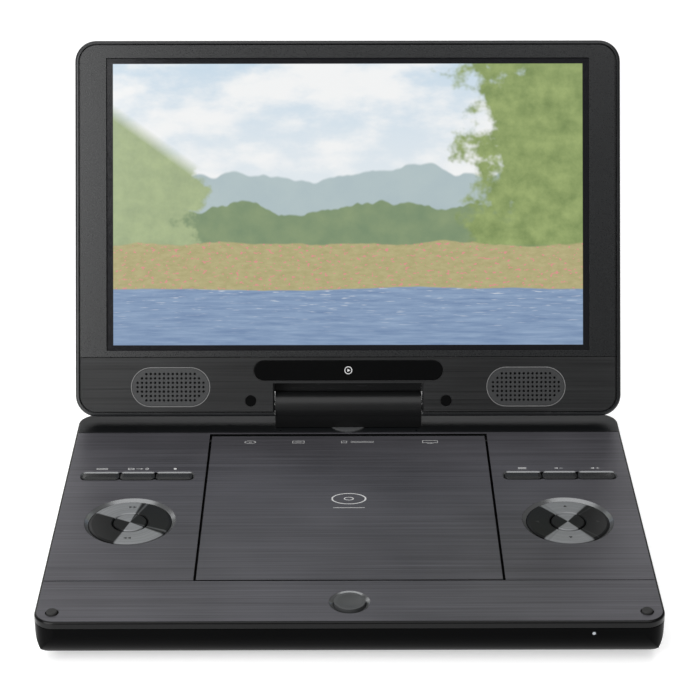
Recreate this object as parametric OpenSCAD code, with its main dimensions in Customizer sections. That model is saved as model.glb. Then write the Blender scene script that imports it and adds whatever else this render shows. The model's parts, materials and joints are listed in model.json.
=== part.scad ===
// Portable disc player with a swivelling, tilting screen, in millimetres.
// +Z is up, the front of the base faces -Y, and the origin is at the middle of the
// whole opened object's footprint, on the surface it stands on.
// Base parts are placed by x and by d, the distance behind the front edge of the base.
// Screen parts are drawn lying flat, face up, and then stood up by on_lid().

/* [Base] */
// Width of the base and of the screen housing
body_w = 296; // [280:1:310]
// Depth of the base, front to back
base_d = 209; // [205:1:215]
// Height of the deck above the surface
deck_z = 24; // [23:0.5:26]
// Radius of the base's corners seen from above
base_r = 10; // [8:0.5:12]
// Height of the upper case's side band
band_h = 3.4; // [3:0.1:4]
// Thickness of the case walls
wall = 2.2; // [2:0.1:2.4]
// Height of the rubber feet below the lower case
foot_h = 1.5; // [1:0.1:1.8]
// Radius that the walls curve under with
tuck_r = 15; // [12:0.5:15]

/* [Screen] */
// Height of the screen housing
lid_h = 204; // [200:1:206]
// Corner radius of the screen housing
lid_r = 11.5; // [9:0.5:13]
// Housing thickness in front of the tilt axis
lid_front = 9.2; // [9:0.1:9.4]
// Housing thickness behind the tilt axis
lid_back = 9; // [8.5:0.1:9.2]
// Lean of the screen behind the vertical, as it stands open
lean = 26; // [10:1:40]
// Width of the bezel's window
window_w = 262.1; // [255:0.5:264]
// Height of the bezel's window
window_h = 158.9; // [155:0.5:160]
// Height of the window's lower edge above the housing's lower edge
window_up = 35.6; // [34:0.2:36]
// Height of the seam between bezel and speaker panel
seam_up = 32.1; // [31:0.1:33]

/* [Hinge] */
// Distance of the tilt and swivel axes in front of the base's rear edge
axis_in = 10.6; // [10:0.1:11.5]
// Height of the tilt axis above the deck
axis_up = 10.7; // [10.5:0.1:11.2]
// Height of the tilt axis above the housing's lower edge
axis_edge = 5.6; // [5:0.1:6]
// Radius of the hinge block's barrel
barrel_r = 8; // [7.5:0.1:8.4]
// Width of the hinge block
block_w = 79.5; // [70:0.5:80]
// Width of the notch in the housing
notch_w = 81.8; // [80:0.2:84]
// Height of the notch
notch_h = 17.9; // [17.5:0.1:19]
// Outer radius of the swivel tube
swivel_r = 5.5; // [5:0.1:6]
// Radius of the tilt shafts
tilt_r = 2.5; // [2:0.1:3]
// Radius of the turntable disc under the hinge block
turntable_r = 10.5; // [9.5:0.1:11]
// Height of the housing's opening behind the hinge block
back_open_h = 13.2; // [13:0.1:13.4]

/* [Disc bay] */
// Width of the disc door
door_w = 147.6; // [146:0.2:150]
// Front edge of the disc door, behind the front of the base
door_front = 37.2; // [36:0.1:38]
// Rear edge of the disc door
door_rear = 185.2; // [184:0.1:186]
// Thickness of the disc door
door_t = 2.2; // [2:0.1:2.4]
// Radius of the bead that the door turns on
bead_r = 3; // [2.8:0.1:3.2]
// Radius of the moulded pins on the door
door_pin_r = 1.2; // [1:0.05:1.4]
// Radius of the round recess for the disc
well_r = 62.5; // [61.5:0.5:64]
// Radius of the hub that fits the disc's hole
hub_r = 7.4; // [7.3:0.02:7.48]
// Distance of the spindle behind the front edge
spindle_d = 111; // [109:0.5:112]

/* [Controls] */
// Distance of the round pads' centres from the middle
pad_x = 110.4; // [108:0.2:112]
// Distance of the round pads' centres behind the front edge
pad_d = 92.8; // [88:0.2:95]
// Outer radius of the four-way rings
ring_r = 20.7; // [19:0.1:21]
// Radius of the recess around a ring at deck level
pad_recess_r = 23.2; // [22.5:0.1:24]
// Depth of the round pads' faces below the deck
pad_sink = 0.7; // [0.5:0.1:0.9]
// Radius of the centre buttons
centre_r = 8.4; // [8:0.1:9]
// Distance of the key rows behind the front edge
keys_d = 139.2; // [137:0.2:142]
// Depth of one key
key_d = 6.6; // [6:0.1:7]
// Radius of the round door button
open_r = 7.5; // [7:0.1:8]
// Distance of the round door button behind the front edge
open_d = 17.5; // [17:0.1:18.5]
// Radius of the deck bumpers
bumper_r = 2.7; // [2.4:0.1:3]

/* [Speakers] */
// Distance of the speakers from the middle
speaker_x = 96.4; // [92:0.2:100]
// Height of the speakers above the housing's lower edge
speaker_up = 15.9; // [15.5:0.1:16.5]
// Length of a speaker grille
grille_w = 41.6; // [40:0.2:44]
// Height of a speaker grille
grille_h = 20.2; // [19:0.2:21]
// Spacing of the grille's holes
grille_pitch = 2.38; // [2.2:0.02:2.6]
// Radius of one grille hole
grille_hole_r = 0.65; // [0.5:0.05:0.8]

/* [Sockets] */
// Radius of the headphone sockets' bores
jack_r = 1.8; // [1.75:0.01:1.85]
// Length of the headphone sockets
jack_len = 12; // [11:0.5:14]
// Radius of the power socket's opening
dc_r = 2.9; // [2.75:0.05:3]

/* [Hidden] */
$fn = 72;
// Running gap between parts that turn in one another, and a gap between still parts
run = 0.06;
gap = 0.3;
e = 0.01;

// The housing's back edges and front edges are rounded to these radii
back_round = 4;
front_round = 1.5;

// Places of the axes
lid_reach = (lid_h - axis_edge - back_round) * sin(lean)
          + (lid_back - back_round) * cos(lean) + back_round;
front_y = -(base_d - axis_in + lid_reach) / 2;
axis_d = base_d - axis_in;
axis_y = front_y + axis_d;
axis_z = deck_z + axis_up;

// Heights in the base
part_z = deck_z - band_h;
plate_z = deck_z - wall;
floor_z = foot_h + wall;
bead_d = door_rear - bead_r;
bead_z = deck_z - bead_r;
bay_gap = 1.3;
bay_w = door_w + 2 * bay_gap;
bay_front = door_front - 0.6;
bay_rear = door_rear + 0.4;
rear_seam_d = 187.3;
shelf_z = 17.4;
well_z = 14.8;
skin = 1.4;
disc_z = 17.9;
hub_top = 20.6;
key_board_z = 15.6;
board_t = 1.2;
dome_t = 0.8;
dome_z = key_board_z + board_t;

// Heights in the drive
chassis_z = 5.2;
chassis_t = 1.2;
rod_z = 9.2;
rod_x = 18.5;
rod_r = 1.2;
rod_from = 37;
rod_to = 105;
screw_x = 27;
screw_z = 10;
screw_r = 1.5;
journal_r = 0.75;
sled_w = 41;
sled_len = 26;
lens_d = 86;

// Screws that hold the case, as [x, d]
case_screw_places = [for (s = [-1, 1]) for (p = [[122, 20], [62, 20], [122, 192], [62, 197]])
    [s * p[0], p[1]]];
boss_r = 4.2;
boss_z = 12;
screw_seat_z = 5.4;
screw_shank_r = 1.2;
screw_head_r = 2.7;

// Feet, as [x, d]
foot_places = [for (s = [-1, 1]) for (d = [36, 176]) [s * 114, d]];
foot_r = 7;

// Bumpers and the power light
bumper_x = 139.5;
bumper_d = 8.7;
led_x = 114;
led_z = 17.5;

// Keys of one row, as [distance of the inner end from the middle, width]
key_rows = [[81.9, 19.1], [101.6, 18], [120.2, 19.2]];
key_slot_from = 81.5;
key_slot_to = 139.8;
key_up = 0.4;
key_r = 2.2;

// Sockets on the right side, placed by d
jack_places = [104, 116];
hdmi_d = 136;
switch_d = 160;
dc_d = 176;
socket_z = 15.6;
side_x = body_w / 2;
nose_x = side_x - 0.9;

// Heights in the flat screen, above the plane of the tilt axis
tub_wall = 2;
panel_z = lid_front - 2.2;
bezel_z = lid_front - 1.4;
glass_z = bezel_z - 0.1;
glass_t = 1.7;
bezel_in = 3.2;
bezel_in_end = 2.6;
flange_in = 2.2;
plug_x = 53;
plug_up = 8.4;
plug_r = 3;
bracket_x = 43.3;
name_up = 24.9;
name_w = 102.4;
name_h = 10.7;

// Sleeves that grip the tilt shafts, by the distance of their inner ends from the middle
clip_x = 26.4;
clip_len = 12;
clip_r = 4.5;
shaft_len = 22;

// ---------- shared shapes ----------

// A box in the base, from [x, d, z] to [x, d, z]
module base_box(from, to) {
    translate([from[0], front_y + from[1], from[2]])
        cube([to[0] - from[0], to[1] - from[1], to[2] - from[2]]);
}

// An upright round post in the base
module post(x, d, from_z, to_z, r) {
    translate([x, front_y + d, from_z]) cylinder(h = to_z - from_z, r = r);
}

// A round bar along X, from x0 to x1
module bar_x(x0, x1, d, z, r) {
    translate([x0, front_y + d, z]) rotate([0, 90, 0]) cylinder(h = x1 - x0, r = r);
}

// A round bar along Y, from d0 to d1
module bar_y(x, d0, d1, z, r) {
    translate([x, front_y + d0, z]) rotate([-90, 0, 0]) cylinder(h = d1 - d0, r = r);
}

// A flat ring
module tube(h, r_out, r_in) {
    difference() {
        cylinder(h = h, r = r_out);
        translate([0, 0, -1]) cylinder(h = h + 2, r = r_in);
    }
}

// A rectangle with round corners, about its middle
module rounded(w, h, r) {
    square([w, h - 2 * r], center = true);
    square([w - 2 * r, h], center = true);
    for (x = [-1, 1], y = [-1, 1]) translate([x * (w / 2 - r), y * (h / 2 - r)]) circle(r);
}

// A slab with round corners, about its middle
module slab(w, h, r, t) {
    linear_extrude(t) rounded(w, h, r);
}

// A profile carried round a rounded rectangle. The profile's x runs outwards from
// the corners' centres, and its y runs up.
module carried_round(w, h, r) {
    for (turn = [0, 180]) rotate([0, 0, turn]) {
        translate([w / 2 - r, h / 2 - r, 0]) rotate_extrude(angle = 90) children();
        translate([w / 2 - r, h / 2 - r, 0]) rotate([90, 0, 0]) linear_extrude(h - 2 * r) children();
    }
    for (turn = [90, 270]) rotate([0, 0, turn]) {
        translate([h / 2 - r, w / 2 - r, 0]) rotate_extrude(angle = 90) children();
        translate([h / 2 - r, w / 2 - r, 0]) rotate([90, 0, 0]) linear_extrude(w - 2 * r) children();
    }
}

// A half section r wide and t high, with its upper and lower outer edges rounded
module soft_section(r, t, top, bottom) {
    difference() {
        square([r, t]);
        translate([r - top, t - top]) square(top + 1);
        if (bottom > 0) translate([r - bottom, -1]) square([bottom + 1, bottom + 1]);
    }
    intersection() {
        translate([r - top, t - top]) circle(top);
        translate([r - top, t - top]) square(top);
    }
    if (bottom > 0) intersection() {
        translate([r - bottom, bottom]) circle(bottom);
        translate([r - bottom, 0]) square(bottom);
    }
}

// A slab with round corners and softened edges
module soft_slab(w, h, r, t, top, bottom = 0) {
    carried_round(w, h, r) soft_section(r, t, top, bottom);
    translate([r - w / 2, r - h / 2, 0]) cube([w - 2 * r, h - 2 * r, t]);
}

// A flat part of the screen, stood up at its lean. y is the height above the
// housing's lower edge, and z the height above the plane of the tilt axis.
module on_lid() {
    translate([0, axis_y, axis_z]) rotate([90 - lean, 0, 0]) translate([0, -axis_edge, 0]) children();
}

// The same place, with y about the middle of the housing
module on_lid_middle() {
    on_lid() translate([0, lid_h / 2, 0]) children();
}

// A round-ended slot shape of length w and height h, with its length along X
module stadium(w, h) {
    square([w - h, h], center = true);
    for (x = [-1, 1]) translate([x * (w - h) / 2, 0]) circle(h / 2);
}

// ---------- the case of the base ----------

// The lower case seen from one end, drawn in by a wall thickness: upright walls
// that curve under to the bottom
module tucked_section(width, in, top_z) {
    r = tuck_r - in;
    low = foot_h + in;
    translate([-width / 2, low + r]) square([width, top_z - low - r]);
    translate([r - width / 2, low]) square([width - 2 * r, r + e]);
    for (x = [-1, 1]) translate([x * (width / 2 - r), low + r]) circle(r);
}

// The lower case's outer shape, or its inner shape when drawn in by the wall
module case_shape(in, top_z) {
    middle_y = front_y + base_d / 2;
    w = body_w - 2 * in;
    d = base_d - 2 * in;
    intersection() {
        translate([0, middle_y, 0]) slab(w, d, base_r - in, top_z);
        translate([-w / 2, middle_y, 0]) rotate([90, 0, 90]) linear_extrude(w) tucked_section(d, in, top_z);
        translate([0, middle_y + d / 2, 0]) rotate([90, 0, 0]) linear_extrude(d) tucked_section(w, in, top_z);
    }
}

// The lip that locates the upper case on the lower one
module case_lip() {
    middle_y = front_y + base_d / 2;
    lip_in = wall + 0.2;
    translate([0, middle_y, part_z - 2.6]) difference() {
        slab(body_w - 2 * (wall - 0.4), base_d - 2 * (wall - 0.4), base_r - wall + 0.4, 2.3);
        translate([0, 0, -1]) slab(body_w - 2 * (wall + 1.2), base_d - 2 * (wall + 1.2), base_r - 3.4, 5);
    }
    translate([0, middle_y, part_z - gap - e]) difference() {
        slab(body_w - 2 * lip_in, base_d - 2 * lip_in, base_r - lip_in, 1.2);
        translate([0, 0, -1]) slab(body_w - 2 * (wall + 1.2), base_d - 2 * (wall + 1.2), base_r - 3.4, 5);
    }
}

module lower_case() {
    color([0.05, 0.055, 0.06]) difference() {
        union() {
            difference() {
                case_shape(0, part_z - gap);
                case_shape(wall, part_z + 1);
            }
            case_lip();
            for (p = case_screw_places) post(p[0], p[1], floor_z - e, boss_z, boss_r);
            post(0, open_d, floor_z - e, 9, 5);
        }
        for (p = case_screw_places) {
            post(p[0], p[1], 0, screw_seat_z, screw_head_r + gap);
            post(p[0], p[1], 0, boss_z + 1, 1.6);
        }
        for (p = foot_places) post(p[0], p[1], 0, foot_h + 0.8, foot_r + 0.1);
        // cooling slots under the drive
        for (i = [-4 : 4]) base_box([i * 7 - 1.5, 140, 0], [i * 7 + 1.5, 172, floor_z + 1]);
        // sockets on the right side
        for (d = jack_places) bar_x(side_x - 16, side_x + 1, d, socket_z, 3.1);
        bar_x(side_x - 16, side_x + 1, dc_d, socket_z, 4.3);
        base_box([side_x - 16, hdmi_d - 6, socket_z - 2.1], [side_x + 1, hdmi_d + 6, socket_z + 2.1]);
        base_box([side_x - 16, switch_d - 6.2, socket_z - 2], [side_x + 1, switch_d + 6.2, socket_z + 2]);
        // power light in the front wall
        bar_y(led_x, -1, 8, led_z, 0.9);
    }
}

// The bevelled hollow around one key, w wide
module key_hollow(w) {
    bevel = 0.9;
    r = key_r + 0.4 + bevel;
    long = w + 0.6 + 2 * bevel;
    deep = key_d + 0.9 + 2 * bevel;
    carried_round(long, deep, r) polygon([[0, 0], [r - bevel, 0], [r, 0.8], [r, 1.2], [0, 1.2]]);
    inner = [long - 2 * r + 2 * e, deep - 2 * r + 2 * e, 1.2];
    translate([-inner[0] / 2, -inner[1] / 2, 0]) cube(inner);
}

// Openings in the deck for the keys and the round pads on one side
module control_cuts(side) {
    slot_w = key_slot_to - key_slot_from;
    translate([side * (key_slot_from + slot_w / 2), front_y + keys_d, plate_z - 1])
        slab(slot_w, key_d + 0.9, key_r + 0.4, 4);
    for (k = key_rows) translate([side * (k[0] + k[1] / 2), front_y + keys_d, deck_z - 0.8]) key_hollow(k[1]);
    post(side * pad_x, pad_d, plate_z - 1, deck_z + 1, ring_r + 0.35);
    translate([side * pad_x, front_y + pad_d, deck_z - 1.3])
        cylinder(h = 1.3 + e, r1 = ring_r + 0.35, r2 = pad_recess_r);
}

// Posts that hold a key board under the deck on one side
module board_posts(side) {
    for (x = [86, 130.4], d = [69, 118])
        post(side * x, d, dome_z, plate_z + e, 2);
}

module upper_case() {
    hinge_cheek = 3.6;
    color([0.33, 0.33, 0.35]) difference() {
        union() {
            difference() {
                translate([0, front_y + base_d / 2, part_z])
                    soft_slab(body_w, base_d, base_r, band_h, 1.2);
                translate([0, front_y + base_d / 2, part_z - 1])
                    slab(body_w - 2 * wall, base_d - 2 * wall, base_r - wall, 1 + band_h - wall);
            }
            for (p = case_screw_places) post(p[0], p[1], boss_z, plate_z + e, boss_r - 0.8);
            post(0, axis_d, 15, plate_z + e, swivel_r + 1.6);
            for (side = [-1, 1]) {
                board_posts(side);
                base_box([side > 0 ? bay_w / 2 : -bay_w / 2 - hinge_cheek, bead_d - 3.4, 17.6],
                         [side > 0 ? bay_w / 2 + hinge_cheek : -bay_w / 2, bead_d + 3.4, plate_z + e]);
            }
        }
        // opening for the disc door
        base_box([-bay_w / 2, bay_front, part_z - 5], [bay_w / 2, bay_rear, deck_z + 1]);
        // bores for the door's pins
        for (side = [-1, 1])
            bar_x(side > 0 ? bay_w / 2 - 1 : -bay_w / 2 - 3, side > 0 ? bay_w / 2 + 3 : -bay_w / 2 + 1,
                  bead_d, bead_z, door_pin_r + run);
        for (side = [-1, 1]) control_cuts(side);
        // round door button
        post(0, open_d, plate_z - 1, deck_z + 1, open_r + 0.3);
        translate([0, front_y + open_d, deck_z - 1.3]) cylinder(h = 1.3 + e, r1 = open_r + 0.3, r2 = 10);
        // bumpers in the front corners
        for (x = [-bumper_x, bumper_x]) post(x, bumper_d, deck_z - 1.4, deck_z + 1, bumper_r + 0.5);
        // swivel bore and the seat of the turntable
        post(0, axis_d, 14, deck_z + 1, swivel_r + run);
        post(0, axis_d, deck_z - 1.2, deck_z + 1, turntable_r + 0.5);
        // seams across the deck
        for (d = [bay_front - 0.1, rear_seam_d])
            base_box([-side_x + 1.2, d - 0.3, deck_z - 0.5], [side_x - 1.2, d + 0.3, deck_z + 1]);
        // sensor holes in the rear strip
        for (x = [-37, 37]) post(x, 189.6, deck_z - 1, deck_z + 1, 0.6);
        // pilot holes for the case screws
        for (p = case_screw_places) post(p[0], p[1], boss_z - 1, 20, screw_shank_r + 0.05);
    }
}

module rubber_feet() {
    color([0.09, 0.09, 0.09]) for (p = foot_places) post(p[0], p[1], 0, foot_h + 0.8, foot_r);
}

module case_screws() {
    color([0.5, 0.5, 0.52]) for (p = case_screw_places) difference() {
        union() {
            post(p[0], p[1], screw_seat_z - 1.5, screw_seat_z, screw_head_r);
            post(p[0], p[1], screw_seat_z - e, 19, screw_shank_r);
        }
        // cross recess
        for (turn = [0, 90]) translate([p[0], front_y + p[1], screw_seat_z - 1.2]) rotate([0, 0, turn])
            cube([3, 0.7, 1.4], center = true);
    }
}

module deck_bumpers() {
    color([0.16, 0.16, 0.17]) for (x = [-bumper_x, bumper_x]) {
        translate([x, front_y + bumper_d, deck_z - 1.4]) rotate_extrude()
            intersection() {
                square([bumper_r, 2.6]);
                union() {
                    square([bumper_r - 0.8, 2.6]);
                    square([bumper_r, 1.8]);
                    translate([bumper_r - 0.8, 1.8]) circle(0.8);
                }
            }
    }
}

module status_led() {
    color([0.9, 0.95, 1]) bar_y(led_x, 0.1, 5, led_z, 0.8);
}

// ---------- the disc door and its button ----------

module disc_door() {
    rib = 1.2;
    color([0.31, 0.31, 0.33]) {
        difference() {
            union() {
                base_box([-door_w / 2, door_front, deck_z - door_t], [door_w / 2, bead_d, deck_z]);
                bar_x(-door_w / 2, door_w / 2, bead_d, bead_z, bead_r);
                // moulded pins
                bar_x(-bay_w / 2 - 2.6, bay_w / 2 + 2.6, bead_d, bead_z, door_pin_r);
                // stiffening ribs under the plate
                for (d = [door_front + 6, 168])
                    base_box([-door_w / 2 + 4, d, deck_z - door_t - rib],
                             [door_w / 2 - 4, d + rib, deck_z - door_t + e]);
                for (x = [-door_w / 2 + 4, door_w / 2 - 4 - rib])
                    base_box([x, door_front + 6, deck_z - door_t - rib], [x + rib, 168, deck_z - door_t + e]);
                // catch for the latch
                base_box([-5, door_front + 0.4, shelf_z + 0.8], [5, door_front + 2.6, deck_z - door_t + e]);
            }
            // window in the catch
            base_box([-3.5, door_front - 1, shelf_z + 1.6], [3.5, door_front + 4, shelf_z + 3]);
        }
    }
}

module door_latch() {
    color([0.2, 0.2, 0.21]) difference() {
        union() {
            base_box([-7, 27.5, 17], [7, 34.3, 19.4]);
            base_box([-3, 34.3 - e, 18.4], [3, door_front + 0.1, 19.4]);
            for (x = [-7, 4.8]) base_box([x, 22, 17], [x + 2.2, 27.5 + e, 18.4]);
        }
        base_box([-2.5, 28.6, 16], [2.5, 32.4, 20]);
    }
}

module open_button() {
    cap_top = deck_z + 0.5;
    color([0.13, 0.13, 0.14]) union() {
        translate([0, front_y + open_d, plate_z - 1]) rotate_extrude() difference() {
            square([open_r, cap_top - plate_z + 1]);
            // shallow finger dish
            translate([0, cap_top - plate_z + 1 + 29.4]) circle(30);
        }
        post(0, open_d, 19.8, 20.8 + e, open_r + 0.8);
        // prong that works the latch
        base_box([-1.8, open_d + 6, 20.7], [1.8, 31, 21.5]);
        base_box([-1.8, 29.4, 17.6], [1.8, 31, 21.5]);
    }
}

// A coil of round wire as a closed tube of eight-sided rings
module coil(r, wire, turns, height) {
    sides = 8;
    steps = turns * 16;
    points = [for (i = [0 : steps]) let (a = i * 22.5, z = height * i / steps)
        for (j = [0 : sides - 1]) let (b = j * 360 / sides)
            [(r + wire * cos(b)) * cos(a), (r + wire * cos(b)) * sin(a), z + wire * sin(b)]];
    walls = [for (i = [0 : steps - 1]) for (j = [0 : sides - 1]) let (k = (j + 1) % sides)
        [i * sides + j, (i + 1) * sides + j, (i + 1) * sides + k, i * sides + k]];
    polyhedron(points, concat([[for (j = [0 : sides - 1]) j]], walls,
        [[for (j = [sides - 1 : -1 : 0]) steps * sides + j]]));
}

module open_button_spring() {
    wire = 0.35;
    color([0.75, 0.75, 0.77]) translate([0, front_y + open_d, 9 + wire + 0.05])
        coil(3.4, wire, 6, 19.8 - 9 - 2 * wire - 0.1);
}

// ---------- keys and round pads ----------

// Middle of a key whose inner end is at x
function key_middle(x, w) = x + (x > 0 ? 1 : -1) * w / 2;

// One key: a round-cornered cap with sloped edges, a flange under the deck and a stem
module key(x, w) {
    low = plate_z - 1.2;
    top = deck_z + key_up;
    slope = 0.6;
    translate([key_middle(x, w), front_y + keys_d, 0]) {
        intersection() {
            translate([0, 0, low]) slab(w, key_d, key_r, top - low);
            translate([0, key_d / 2, 0]) rotate([90, 0, 0]) linear_extrude(key_d)
                polygon([[-w / 2, low], [w / 2, low], [w / 2, top - slope],
                         [w / 2 - 1.8, top], [1.8 - w / 2, top], [-w / 2, top - slope]]);
            translate([-w / 2, 0, 0]) rotate([90, 0, 90]) linear_extrude(w)
                polygon([[-key_d / 2, low], [key_d / 2, low], [key_d / 2, top - slope],
                         [key_d / 2 - 1.5, top], [1.5 - key_d / 2, top], [-key_d / 2, top - slope]]);
        }
        translate([-w / 2, -key_d / 2 - 1.3, low]) cube([w, key_d + 2.6, 0.8]);
        translate([0, 0, dome_z + dome_t + 0.6]) cylinder(h = low - dome_z - dome_t - 0.6 + e, r = 2);
    }
}

module mode_key() { color([0.22, 0.22, 0.24]) key(-key_rows[2][0], key_rows[2][1]); }
module source_key() { color([0.22, 0.22, 0.24]) key(-key_rows[1][0], key_rows[1][1]); }
module stop_key() { color([0.22, 0.22, 0.24]) key(-key_rows[0][0], key_rows[0][1]); }
module setup_key() { color([0.22, 0.22, 0.24]) key(key_rows[0][0], key_rows[0][1]); }
module volume_down_key() { color([0.22, 0.22, 0.24]) key(key_rows[1][0], key_rows[1][1]); }
module volume_up_key() { color([0.22, 0.22, 0.24]) key(key_rows[2][0], key_rows[2][1]); }

// A four-way ring: face, skirt, flange under the deck and four nubs
module ring(side) {
    top = deck_z - pad_sink;
    face_t = 1.3;
    hole_r = centre_r + 0.7;
    translate([side * pad_x, front_y + pad_d, 0]) {
        difference() {
            union() {
                translate([0, 0, top - face_t]) cylinder(h = face_t - 0.4, r = ring_r);
                translate([0, 0, top - 0.4 - e]) cylinder(h = 0.4 + e, r1 = ring_r, r2 = ring_r - 1.2);
            }
            translate([0, 0, top - 3]) cylinder(h = 5, r = hole_r);
            translate([0, 0, top - 0.4]) cylinder(h = 0.4 + e, r1 = hole_r, r2 = hole_r + 0.5);
        }
        translate([0, 0, 20.4]) tube(top - face_t - 20.4 + e, ring_r - 0.4, ring_r - 2);
        translate([0, 0, 19.8]) tube(0.8, ring_r + 1.2, 11.5);
        for (a = [0 : 90 : 270]) rotate([0, 0, a]) translate([15, 0, 18.45]) cylinder(h = 1.4, r = 1.5);
    }
}

module transport_ring() { color([0.5, 0.5, 0.52]) ring(-1); }
module navigation_ring() { color([0.5, 0.5, 0.52]) ring(1); }

// The cross plate that a ring rocks on
module rocker(side) {
    translate([side * pad_x, front_y + pad_d, 18.3]) tube(1, 9, 3.6);
}

module transport_rocker() { color([0.75, 0.75, 0.72]) rocker(-1); }
module navigation_rocker() { color([0.75, 0.75, 0.72]) rocker(1); }

// A centre button: cap, flange and stem
module centre_button(side) {
    top = deck_z - pad_sink + 0.1;
    translate([side * pad_x, front_y + pad_d, 0]) {
        translate([0, 0, top - 2.3]) cylinder(h = 1.9, r = centre_r);
        translate([0, 0, top - 0.4 - e]) cylinder(h = 0.4 + e, r1 = centre_r, r2 = centre_r - 0.4);
        translate([0, 0, top - 3.1]) cylinder(h = 0.8 + e, r = centre_r + 0.8);
        translate([0, 0, dome_z + dome_t + 0.6]) cylinder(h = 4, r = 3);
    }
}

module play_button() { color([0.45, 0.45, 0.47]) centre_button(-1); }
module ok_button() { color([0.45, 0.45, 0.47]) centre_button(1); }

module key_boards() {
    color([0.1, 0.3, 0.16]) for (side = [-1, 1])
        base_box([side > 0 ? 81 : -132.6, 66, key_board_z], [side > 0 ? 132.6 : -81, 146, dome_z]);
}

// Rubber domes under the keys, the rings and the centre buttons
module key_domes() {
    color([0.85, 0.85, 0.82]) for (side = [-1, 1]) {
        for (k = key_rows)
            post(side * (k[0] + k[1] / 2), keys_d, dome_z, dome_z + dome_t, 2.6);
        post(side * pad_x, pad_d, dome_z, dome_z + dome_t, 3.2);
        for (a = [0 : 90 : 270])
            post(side * pad_x + 15 * cos(a), pad_d + 15 * sin(a), dome_z, dome_z + dome_t, 2.6);
    }
}

// ---------- the disc drive ----------

module disc_well() {
    rim_x = bay_w / 2;
    color([0.12, 0.12, 0.13]) difference() {
        union() {
            // flange under the deck
            base_box([-rim_x - 3.5, bay_front - 3.5, plate_z - skin], [rim_x + 3.5, bay_rear + 2.8, plate_z]);
            base_box([-rim_x - skin, bay_front - skin, shelf_z - skin],
                     [rim_x + skin, bay_rear + skin, plate_z]);
            post(0, spindle_d, well_z - skin, shelf_z, well_r + skin);
            for (x = [-1, 1]) post(x * 56, spindle_d, well_z - skin, shelf_z, 14 + skin);
        }
        base_box([-rim_x, bay_front, shelf_z], [rim_x, bay_rear, plate_z + 1]);
        post(0, spindle_d, well_z, plate_z, well_r);
        // finger hollows beside the disc
        for (x = [-1, 1]) post(x * 56, spindle_d, well_z, plate_z, 14);
        // openings for the hub and for the lens
        post(0, spindle_d, well_z - 5, well_z + 1, 16);
        base_box([-20, 52, well_z - 5], [20, spindle_d - 8, well_z + 1]);
        // room for the door's cheeks, screws, keys and latch
        for (side = [-1, 1])
            base_box([side * rim_x - 4 - gap, bead_d - 3.4 - gap, 17.6 - gap],
                     [side * rim_x + 4 + gap, bead_d + 3.4 + gap, plate_z + 1]);
        base_box([-7.6, bay_front - 5, 16.7], [7.6, bay_front + 1, plate_z - skin - 0.6]);
        base_box([-2.4, bay_front - 5, 16.7], [2.4, bay_front - 2.5, plate_z + 1]);
    }
}

module drive_chassis() {
    color([0.62, 0.63, 0.65]) difference() {
        union() {
            base_box([-38, 34, chassis_z], [38, 134, chassis_z + chassis_t]);
            // tabs that hold the rods
            for (side = [-1, 1], d = [36, 103])
                base_box([side * rod_x - 2.4, d, chassis_z + chassis_t - e],
                         [side * rod_x + 2.4, d + 3, rod_z + 2.4]);
            // tab that holds the front end of the lead screw
            base_box([screw_x - 2, 38, chassis_z + chassis_t - e], [screw_x + 2, 40, screw_z + 2]);
        }
        base_box([-22.5, 40, chassis_z - 1], [22.5, 102, chassis_z + 3]);
        for (side = [-1, 1]) bar_y(side * rod_x, 35, 110, rod_z, rod_r + 0.05);
        bar_y(screw_x, 37, 41, screw_z, journal_r + 0.05);
        for (side = [-1, 1], d = [41, 127]) post(side * 32, d, chassis_z - 1, chassis_z + 3, 1.5);
    }
}

module chassis_dampers() {
    color([0.08, 0.08, 0.08]) for (side = [-1, 1], d = [41, 127])
        translate([side * 32, front_y + d, floor_z]) {
            cylinder(h = chassis_z - floor_z, r = 3);
            cylinder(h = chassis_z + chassis_t - floor_z + 0.6, r = 1.45);
        }
}

module spindle_motor() {
    color([0.7, 0.7, 0.72]) difference() {
        post(0, spindle_d, chassis_z + chassis_t, 12.4, 11.5);
        post(0, spindle_d, 7, 13, 1.5 + run);
    }
}

// The hub that the disc sits on: seat, boss with a tapered nose, and the motor's shaft
module spindle_hub() {
    color([0.75, 0.76, 0.78]) {
        post(0, spindle_d, disc_z - 1.4, disc_z, 14.5);
        post(0, spindle_d, 12.8, hub_top, hub_r);
        post(0, spindle_d, 7.4, 13, 1.5);
        translate([0, front_y + spindle_d, hub_top - e]) cylinder(h = 0.6, r1 = hub_r, r2 = hub_r - 0.9);
    }
}

module laser_sled() {
    from_d = lens_d - sled_len / 2;
    color([0.4, 0.41, 0.44]) difference() {
        union() {
            base_box([-sled_w / 2, from_d, 6.8], [sled_w / 2, from_d + sled_len, 12.4]);
            // arm that follows the lead screw
            base_box([sled_w / 2 - e, lens_d - 3, 6.9], [screw_x + 1, lens_d + 3, screw_z - screw_r - 0.15]);
        }
        for (side = [-1, 1]) bar_y(side * rod_x, from_d - 1, from_d + sled_len + 1, rod_z, rod_r + run);
        post(0, lens_d, 11, 13, 5.2);
    }
}

module laser_lens() {
    color([0.5, 0.55, 0.85]) post(0, lens_d, 11, 12.2, 5);
    color([0.5, 0.55, 0.85]) translate([0, front_y + lens_d, 12.2 - e]) intersection() {
        cylinder(h = 1, r = 2);
        translate([0, 0, -2.4]) sphere(3.2);
    }
}

module sled_rods() {
    color([0.8, 0.8, 0.82]) for (side = [-1, 1]) bar_y(side * rod_x, rod_from, rod_to, rod_z, rod_r);
}

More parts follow.
